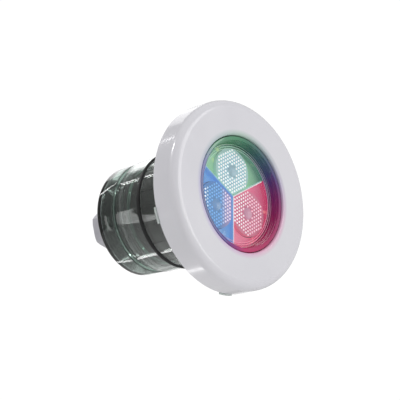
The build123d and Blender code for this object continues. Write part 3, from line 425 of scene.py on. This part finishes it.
def board(name, dark, light):
    """Solder mask over faint copper tracks."""
    look = Look(name)
    look.set(coat=0.5, coat_roughness=0.1, roughness=0.35)
    tracks = look.node("ShaderNodeTexVoronoi", feature="DISTANCE_TO_EDGE", distance="CHEBYCHEV")
    tracks.inputs["Scale"].default_value = 350
    look.link(look.place, tracks.inputs["Vector"])
    look.vary(tracks.outputs["Distance"], light, dark, 0.03, 0.08)
    look.bump(tracks.outputs["Distance"], 0.00003, 0.4)
    return look


# ---------------------------------------------------------------- optics
# The trays' colours are the LEDs' light, painted on as colour and glow, with painted shade, painted glints
# and painted highlights on the ridges.
TRAY_COLOURS = {"green": (148, 206, 164), "blue": (100, 162, 222), "red": (236, 122, 158)}
TRAY_PAINTED_SHADES = {"green": (80, 136, 118), "blue": (62, 84, 164), "red": (208, 62, 118)}
TRAY_GLINTS = {"green": (214, 236, 150), "blue": (196, 226, 250), "red": (252, 176, 170)}
TRAY_RIDGE_HIGHLIGHTS = {"green": (160, 206, 206), "blue": (110, 170, 226), "red": (255, 236, 240)}
# The lenses' colours are their LEDs' light, painted on as colour and glow.
LENS_COLOURS = {"green": (172, 208, 222), "blue": (88, 154, 218), "red": (222, 118, 154)}
LENS_SHADES = {"green": (184, 222, 220), "blue": (86, 146, 214), "red": (232, 124, 158)}
LENS_DISCS = {"green": (160, 196, 212), "blue": (112, 164, 218), "red": (226, 158, 190)}
BEAD_PLAIN = {"green": (240, 252, 254), "blue": (112, 174, 228), "red": (248, 192, 208)}
# The colour of the painted highlights on the domes.
BEAD_HIGHLIGHT = {"green": (255, 255, 255), "blue": (246, 252, 255), "red": (255, 236, 240)}
# The ridge tops carry a painted highlight, which fades behind them and towards the rim.
RIDGE_Y = -7.7 * MM
RIDGE_FADE = (0.1 * MM, 0.5 * MM)  # behind the ridge, from pale to none
RIDGE_END = (24.5 * MM, 26 * MM)  # the ridges fade out between these two radii
# Painted shade on the trays: deeper outwards across the first span of radii, and towards +X across the second
# span of X.
PAINTED_SHADE_REACH = (17 * MM, 27 * MM)
PAINTED_SHADE_RIGHT = (10 * MM, 24 * MM)
LENS_CIRCLE = 13.6 * MM
LENS_RADIUS = 12.2 * MM
LENS_FRONT_Y = -7.1 * MM
DIMPLE_RADIUS = 3.0 * MM
# Stretches of X over which painted light on one sector changes: the red sector's light leaking onto the blue
# lens, and painted highlights on the blue and red domes.
BLUE_RED_LIGHT_LEAK = (-9 * MM, -4 * MM)
BLUE_BEAD_HIGHLIGHT = (-20.0 * MM, -17.5 * MM)
BLUE_BEAD_PINK_HIGHLIGHT = (-8 * MM, -5 * MM)
RED_BEAD_HIGHLIGHT = (6 * MM, 15 * MM)


def lens_centre(colour):
    angle = radians(SECTORS[colour])
    return Vector((LENS_CIRCLE * cos(angle), 0, LENS_CIRCLE * sin(angle)))


def lit_tray(colour):
    """A tray whose LEDs' light is painted on as colour and glow: full colour near its lens, painted shade
    deeper at its rim and towards +X, painted glints, and painted highlights on the ridges.
    """
    look = Look(f"tray_{colour}")
    look.set(roughness=0.18, coat=0.5, coat_roughness=0.08, glow=0.4)
    tables = (TRAY_COLOURS, TRAY_PAINTED_SHADES, TRAY_GLINTS, TRAY_RIDGE_HIGHLIGHTS)
    base, shade, spark, edge = (srgb(*table[colour]) for table in tables)
    # Painted shade, deeper towards the rim and towards +X.
    outward = look.spread(look.radius(), 0, 1, *PAINTED_SHADE_REACH)
    field = look.ramp(outward, [(0.0, base), (0.6, base), (1.0, shade)])
    right = look.spread(look.axis("X"), 0, 0.75, *PAINTED_SHADE_RIGHT)
    field = look.mix(right, field, shade)
    # Painted glints scattered over the tray.
    field = look.mix(look.spread(look.noise(160, detail=4), 0, 0.75, 0.6, 0.72), field, spark)
    # Painted highlights on the ridge tops.
    height = look.spread(look.axis("Y"), 1, 0, *(RIDGE_Y + behind for behind in RIDGE_FADE))
    inward = look.spread(look.radius(), 1, 0, *RIDGE_END)
    ridge = look.node("ShaderNodeMath", operation="MULTIPLY")
    look.link(height, ridge.inputs[0])
    look.link(inward, ridge.inputs[1])
    look.lit(look.mix(ridge.outputs[0], field, edge))
    look.bump(look.noise(260, detail=3), 0.0002, 0.35)
    return look


def lens_reach(look, colour):
    """How far a point is from that lens's centre, as a share of its radius."""
    away = look.node("ShaderNodeVectorMath", operation="SUBTRACT")
    away.inputs[1].default_value = lens_centre(colour)
    look.link(look.place, away.inputs[0])
    flat = look.node("ShaderNodeVectorMath", operation="MULTIPLY")
    flat.inputs[1].default_value = (1, 0, 1)
    look.link(away.outputs[0], flat.inputs[0])
    far = look.node("ShaderNodeVectorMath", operation="LENGTH")
    look.link(flat.outputs["Vector"], far.inputs[0])
    return look.spread(far.outputs["Value"], 0, 1, 0, LENS_RADIUS)


def lit_lens(colour):
    """A clear collimator with its LED's light painted on as colour and glow: a plain disc at its centre and a
    field that pales outwards.
    """
    look = Look(f"collimator_{colour}")
    look.set(roughness=0.06, coat=0.6, coat_roughness=0.03, ior=1.49, glow=0.22)
    base, shade, disc = (srgb(*table[colour]) for table in (LENS_COLOURS, LENS_SHADES, LENS_DISCS))
    stops = [(0.0, disc), (0.24, disc), (0.27, base), (0.74, base), (0.86, shade), (1.0, shade)]
    field = look.ramp(lens_reach(look, colour), stops)
    field = look.mix(look.spread(look.noise(90, detail=2), 0, 0.35), field, shade)
    if colour == "blue":
        # Painted light: the red sector's light tints the blue lens pink towards the red sector.
        field = look.mix(look.spread(look.axis("X"), 0, 0.6, *BLUE_RED_LIGHT_LEAK), field, srgb(206, 172, 214))
    look.lit(field)
    look.bump(look.noise(500, detail=2), 0.00004, 0.3)
    return look


def lit_beads(colour):
    """The lens's domes, with their LED light painted on as glow and painted highlights on some of them."""
    look = Look(f"beads_{colour}")
    look.set(roughness=0.05, coat=0.6, coat_roughness=0.02, ior=1.49, glow=0.7)
    plain, bright = srgb(*BEAD_PLAIN[colour]), srgb(*BEAD_HIGHLIGHT[colour])
    if colour == "blue":
        # Painted highlights: white domes at the blue lens's left edge, and pinkish ones at its right, towards
        # the lamp's centre.
        edge = look.spread(look.axis("X"), 1, 0, *BLUE_BEAD_HIGHLIGHT)
        middle = look.spread(look.axis("X"), 0, 0.9, *BLUE_BEAD_PINK_HIGHLIGHT)
        first = look.mix(middle, plain, srgb(250, 224, 240))
        look.lit(look.mix(edge, first, bright))
    elif colour == "red":
        # Painted highlights: the red lens's domes are brighter towards its left.
        look.lit(look.mix(look.spread(look.axis("X"), 0.9, 0, *RED_BEAD_HIGHLIGHT), plain, bright))
    else:
        # Painted highlights on domes scattered at random.
        look.lit(look.mix(look.noise(120, detail=1), plain, bright))
    return look


# The three lamps' coloured light, painted round the opening, as (share of a turn, screen colour).
RIM_PAINTED_LIGHT = [
    (0.0, (50, 58, 118)), (0.10, (44, 58, 112)), (0.18, (74, 48, 128)), (0.26, (176, 40, 96)),
    (0.36, (160, 20, 84)), (0.47, (132, 16, 86)), (0.53, (104, 26, 96)), (0.58, (66, 50, 112)),
    (0.64, (52, 78, 100)), (0.70, (44, 96, 84)), (0.77, (64, 128, 92)), (0.87, (92, 140, 112)),
    (0.94, (78, 80, 140)), (1.0, (50, 58, 118)),
]


def rim_look(name, glow, lift=1.0, pale=0.0):
    """Clear acrylic with the three lamps' coloured light painted round the opening as colour and glow. lift
    brightens and pale whitens that painted light.
    """
    look = Look(name)
    look.set(roughness=0.1, coat=0.7, coat_roughness=0.03, ior=1.49, glow=glow)
    stops = []
    for place, colour in RIM_PAINTED_LIGHT:
        parts = [min(1, lift * part) for part in srgb(*colour)]
        stops.append((place, tuple(part + (1 - part) * pale for part in parts)))
    look.lit(look.ramp(look.angle(), stops))
    look.bump(look.noise(300), 0.00002, 0.3)
    return look


def led_look(name, colour):
    """A lit silicone dome, brighter at its crown."""
    look = Look(name)
    look.set(roughness=0.2, glow=4.0)
    glow = look.ramp(look.noise(400), [(0.3, srgb(*colour)), (0.7, (1, 1, 1))])
    look.link(glow, look.shader.inputs["Emission Color"])
    look.vary(look.noise(300), srgb(*colour), srgb(240, 240, 240))
    return look


# ---------------------------------------------------------------- pieces made here
LATHE_SEGMENTS = 256
LATHE_SHARP = 25  # degrees
BEAD_SHARP = 60


def lathe(name, outline):
    """Revolve (radius, y) points in millimetres about the lamp's axis. The outline closes on itself."""
    mesh = bpy.data.meshes.new(name)
    work = bmesh.new()
    rings = []
    for radius, y in outline:
        if radius < 1e-6:
            rings.append([work.verts.new((0, y * MM, 0))])
            continue
        ring = []
        for step in range(LATHE_SEGMENTS):
            turn = 2 * pi * step / LATHE_SEGMENTS
            ring.append(work.verts.new((radius * MM * cos(turn), y * MM, radius * MM * sin(turn))))
        rings.append(ring)
    count = len(rings)
    for index in range(count):
        a, b = rings[index], rings[(index + 1) % count]
        for step in range(LATHE_SEGMENTS):
            after = (step + 1) % LATHE_SEGMENTS
            corners = []
            for vert in (a[step % len(a)], a[after % len(a)], b[after % len(b)], b[step % len(b)]):
                if vert not in corners:
                    corners.append(vert)
            if len(corners) > 2:
                work.faces.new(corners)
    bmesh.ops.recalc_face_normals(work, faces=work.faces)
    work.to_mesh(mesh)
    work.free()
    piece = bpy.data.objects.new(name, mesh)
    bpy.context.scene.collection.objects.link(piece)
    shade_smooth(piece, LATHE_SHARP)
    return piece


def shade_smooth(piece, sharp_degrees):
    """Smooth shading that keeps edges sharper than that."""
    mesh = piece.data
    for face in mesh.polygons:
        face.use_smooth = True
    mesh.set_sharp_from_angle(angle=radians(sharp_degrees))


BEAD_PITCH = 1.9 * MM
BEAD_RADIUS = 0.56 * MM
BEAD_HEIGHT = 0.32 * MM
BEAD_SINK = 0.02 * MM
BEAD_EDGE_ROOM = 1.4  # times a bead's radius
BEAD_SIDES = 10
BEAD_RINGS = 4
LENS_INSET = 0.75 * MM


def add_beads(colour):
    """Small domes on a collimator's front, in hexagonal rows, with the disc at its centre left plain."""
    mesh = bpy.data.meshes.new(f"beads_{colour}")
    work = bmesh.new()
    centre = lens_centre(colour)
    bearing = radians(SECTORS[colour])
    edge = LENS_RADIUS - BEAD_RADIUS * BEAD_EDGE_ROOM
    rows = int(LENS_RADIUS / BEAD_PITCH) + 2
    for row in range(-rows, rows + 1):
        for column in range(-rows, rows + 1):
            u = (column + 0.5 * (row % 2)) * BEAD_PITCH
            v = row * BEAD_PITCH * sqrt(3) / 2
            away = sqrt(u * u + v * v)
            if away > edge or away < DIMPLE_RADIUS + BEAD_RADIUS:
                continue
            x = centre.x + u * cos(bearing) - v * sin(bearing)
            z = centre.z + u * sin(bearing) + v * cos(bearing)
            if border_distance(x, z, bearing) < LENS_INSET + BEAD_RADIUS:
                continue
            add_dome(work, x, z)
    work.to_mesh(mesh)
    work.free()
    piece = bpy.data.objects.new(f"beads_{colour}", mesh)
    bpy.context.scene.collection.objects.link(piece)
    shade_smooth(piece, BEAD_SHARP)
    return piece


def border_distance(x, z, bearing):
    """How far a point is from the nearer straight border of the 120 degree sector at bearing."""
    along = x * cos(bearing) + z * sin(bearing)
    across = abs(-x * sin(bearing) + z * cos(bearing))
    return along * sin(HALF_SECTOR) - across * cos(HALF_SECTOR)


def add_dome(work, x, z):
    """One closed dome on the lens's front face."""
    levels = []
    for ring in range(BEAD_RINGS):
        rise = 0.5 * pi * ring / BEAD_RINGS
        radius, height = BEAD_RADIUS * cos(rise), BEAD_HEIGHT * sin(rise) - BEAD_SINK
        levels.append([
            work.verts.new((
                x + radius * cos(2 * pi * side / BEAD_SIDES),
                LENS_FRONT_Y - height,
                z + radius * sin(2 * pi * side / BEAD_SIDES),
            ))
            for side in range(BEAD_SIDES)
        ])
    top = work.verts.new((x, LENS_FRONT_Y - BEAD_HEIGHT + BEAD_SINK, z))
    for low, high in zip(levels, levels[1:]):
        for side in range(BEAD_SIDES):
            after = (side + 1) % BEAD_SIDES
            work.faces.new((low[side], low[after], high[after], high[side]))
    for side in range(BEAD_SIDES):
        work.faces.new((levels[-1][side], levels[-1][(side + 1) % BEAD_SIDES], top))
    work.faces.new(list(reversed(levels[0])))


def add_window():
    """The window, with fine steps round its edge where it was turned."""
    low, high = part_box("front_window")
    edge = high.x / MM
    front, rear = low.y / MM, high.y / MM
    steps = [(3.6, 0.25), (3.5, 0.1), (2.7, 0.1), (2.6, 0.3), (2.2, 0.3), (2.1, 0), (0.1, 0), (0, 0.1)]
    outline = [(0, front + 0.25)] + [(edge - inset, front + depth) for inset, depth in steps]
    outline += [(edge, rear), (0, rear)]
    piece = lathe("window_pane", outline)
    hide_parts("front_window")
    return piece


def add_rim():
    """The ring that holds the window, with the fine steps that catch the light inside the opening."""
    low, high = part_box("window_retainer")
    outer = high.x / MM
    front, rear = low.y / MM, high.y / MM
    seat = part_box("front_window")[1].x / MM
    inner = seat - 0.9
    lip = front + 0.8
    outline = [
        (inner + 0.75, front + 0.12), (inner + 0.9, front),
        (outer - 0.4, front), (outer - 0.12, front + 0.12),
        (outer, front + 0.4), (outer, lip), (seat, lip), (seat, rear), (inner, rear),
        (inner, rear - 1.0), (inner + 0.22, rear - 1.05), (inner + 0.22, rear - 1.9),
        (inner + 0.45, rear - 1.95), (inner + 0.45, front + 0.9), (inner + 0.7, front + 0.85),
    ]
    piece = lathe("window_rim", outline)
    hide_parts("window_retainer")
    return piece


STEP_RADII = (24.6, 25.7, 26.9)
STEP_WIDTH = 0.24
STEP_HEIGHT = 0.12


def add_window_steps():
    """Fine raised rings round the window's edge, which catch the light."""
    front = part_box("front_window")[0].y / MM + 0.1
    pieces = []
    for index, radius in enumerate(STEP_RADII):
        crest = (radius + STEP_WIDTH / 2, front - STEP_HEIGHT)
        outline = [(radius, front), (radius + STEP_WIDTH, front), crest]
        pieces.append(lathe(f"window_step_{index + 1}", outline))
    return pieces


# The rear cap and the resin, in millimetres, at the CAD's sizes apart from RESIN_GAP.
CAP_BORE_RADIUS = 25.4
CAP_NECK_RADIUS = 28.4
CAP_NECK_FRONT_Y = 47.0
CAP_NECK_END_Y = 50.4
CAP_WALL = 1.5
CAP_HOLE_RADIUS = 8.1
CAP_ROUND_STEPS = 6
SEAL_GROOVE_RADIUS = 26.4
CAP_FRONT_ROUND = 0.8
CAP_REAR_ROUND = 1.6
SPIGOT_GAP = 0.05
RESIN_GAP = 0.12


def quarter_round(radius, y, size, toward_rear):
    """Points of a rounded outer edge at that radius and y. The edge faces the rear or the front."""
    points = []
    for step in range(CAP_ROUND_STEPS + 1):
        turn = 0.5 * pi * step / CAP_ROUND_STEPS
        if toward_rear:
            points.append((radius - size + size * cos(turn), y - size + size * sin(turn)))
        else:
            points.append((radius - size + size * sin(turn), y + size - size * cos(turn)))
    return points


def add_cap():
    """The clear rear cap as one smooth turned piece, so that no facets show through it."""
    low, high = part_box("rear_cap")
    outer, rear, front = high.x / MM, high.y / MM, low.y / MM
    seal_low, seal_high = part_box("cap_seal")
    spigot = seal_high.x / MM - SPIGOT_GAP
    groove = (seal_low.y / MM, seal_high.y / MM)
    outline = [
        (CAP_BORE_RADIUS, front), (spigot, front), (spigot, groove[0]), (SEAL_GROOVE_RADIUS, groove[0]),
        (SEAL_GROOVE_RADIUS, groove[1]), (spigot, groove[1]), (spigot, CAP_NECK_FRONT_Y),
        (CAP_NECK_RADIUS, CAP_NECK_FRONT_Y), (CAP_NECK_RADIUS, CAP_NECK_END_Y),
    ]
    outline += quarter_round(outer, CAP_NECK_END_Y, CAP_FRONT_ROUND, False)
    outline += quarter_round(outer, rear, CAP_REAR_ROUND, True)
    inside = rear - CAP_WALL
    outline += [(CAP_HOLE_RADIUS, rear), (CAP_HOLE_RADIUS, inside), (CAP_BORE_RADIUS, inside)]
    piece = lathe("cap_clear", outline)
    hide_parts("rear_cap")
    return piece


def add_resin():
    """The resin plug, a hair smaller than the cap's bore so that the two never share a surface."""
    low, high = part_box("potting_plug")
    mesh = nodes["potting_plug"].data
    hole = min(sqrt(v.co.x ** 2 + v.co.z ** 2) for v in mesh.vertices) / MM
    outer, front, rear = high.x / MM - RESIN_GAP, low.y / MM, high.y / MM - RESIN_GAP
    piece = lathe("resin", [(hole, front), (outer, front), (outer, rear), (hole, rear)])
    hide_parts("potting_plug")
    return piece


# ---------------------------------------------------------------- put it together
add_camera()
add_world()
add_floor()
LAMP_MIDDLE = Vector((0, 0.02, 0))
SOFTBOXES = {  # way from the lamp, then distance, width and height in metres, and watts
    "key": ((-0.66, 0.30, 0.69), 1.2, 0.07, 0.20, 3.6),
    "front": ((0.30, -0.90, 0.33), 1.6, 1.2, 1.2, 9.4),
    "side_streak": ((-0.70, 0.70, -0.13), 1.2, 0.05, 0.5, 0.12),
    "top_streak": ((-0.27, 0.70, 0.66), 1.2, 0.03, 0.4, 0.3),
    "top_sheet": ((0.30, 0.67, 0.68), 1.2, 0.5, 0.5, 0.9),
    "low_streak": ((0.12, 0.68, -0.71), 1.2, 0.07, 0.4, 0.5),
}
for name, (way, distance, width, height, power) in SOFTBOXES.items():
    add_softbox(name, LAMP_MIDDLE + distance * Vector(way), LAMP_MIDDLE, width, height, power)

clear = clear_shell("clear_housing", (0.98, 1.0, 0.99), 44)
clear_cap = clear_shell("clear_cap", (0.97, 1.0, 0.99), 110)
black = rubber()
nylon = gland_nylon()
steel = bare_metal("zinc_steel", srgb(150, 150, 152), srgb(196, 196, 198))
dress("face_ring", white_shell(spill=True))
dress("mounting_flange", white_shell())
dress("housing", clear)
# Painted light: the seal carries the rim's painted coloured light, brightened.
dress("window_seal", rim_look("lit_silicone", 0.25, 1.6))
for name in ("wall_seal", "flange_gasket", "gland_washer", "gland_seal"):
    dress(name, black)
for name in ("gland_body", "gland_locknut", "gland_clamp_ring", "gland_nut"):
    dress(name, nylon)
for name in ("board_screws", "driver_screws", "terminal_screws"):
    dress(name, steel)
dress("rim_pads", soft_pads())
dress("cap_seal", silicone())
dress("can", anodised())
dress("lens_frame", plain_plastic("black_nylon", srgb(16, 16, 17), srgb(34, 34, 35)))
dress("thermal_pad", plain_plastic("thermal_pad", srgb(120, 126, 134), srgb(146, 152, 158), (0.6, 0.8)))
dress("led_board", board("white_mask", srgb(206, 208, 206), srgb(232, 234, 232)))
dress("driver_board", board("green_mask", srgb(16, 74, 40), srgb(34, 112, 62)))
dress("standoffs", bare_metal("brass", srgb(176, 140, 74), srgb(206, 172, 104)))
dress("inductor", plain_plastic("ferrite", srgb(34, 34, 36), srgb(54, 54, 56)))
dress("inductor_coil", bare_metal("enamelled_copper", srgb(170, 88, 44), srgb(206, 120, 66)))
dress("capacitors", plain_plastic("capacitor_sleeve", srgb(22, 26, 44), srgb(34, 40, 62), (0.15, 0.3)))
dress("control_chip", plain_plastic("moulded_epoxy", srgb(26, 26, 28), srgb(42, 42, 44), (0.5, 0.7)))
dress("terminal_block", plain_plastic("green_nylon", srgb(28, 110, 66), srgb(44, 134, 84)))
dress("led_leads", plain_plastic("red_silicone", srgb(150, 28, 24), srgb(182, 44, 38)))
resin_look = plain_plastic("black_resin", srgb(34, 37, 35), srgb(48, 51, 48), (0.2, 0.35), 120)
turned_pieces = (
    (add_cap(), clear_cap, "clear_plastic"),
    (add_resin(), resin_look, "potting_resin"),
)
for piece, look, slot in turned_pieces:
    dress(piece, look)
    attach(piece, "lamp")
for colour, tint in {"green": (120, 240, 150), "blue": (90, 140, 250), "red": (250, 80, 90)}.items():
    dress(f"reflector_{colour}", lit_tray(colour))
    dress(f"lens_{colour}", lit_lens(colour))
    dress(f"led_{colour}", led_look(f"led_{colour}_glow", tint))
    beads = add_beads(colour)
    dress(beads, lit_beads(colour))
    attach(beads, "lamp")

window = add_window()
dress(window, clear_shell("clear_window", (0.98, 1.0, 1.0), 6))
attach(window, "lamp")

# Painted highlights: the steps carry the rim's painted light, brightened and whitened.
steps_look = rim_look("lit_steps", 0.5, lift=2.0, pale=0.35)
for step in add_window_steps():
    dress(step, steps_look)
    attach(step, "lamp")

rim = add_rim()
# Painted coloured light round the opening.
dress(rim, rim_look("dark_lit_rim", 0.2))
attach(rim, "lamp")

bpy.context.scene.view_settings.view_transform = "Standard"
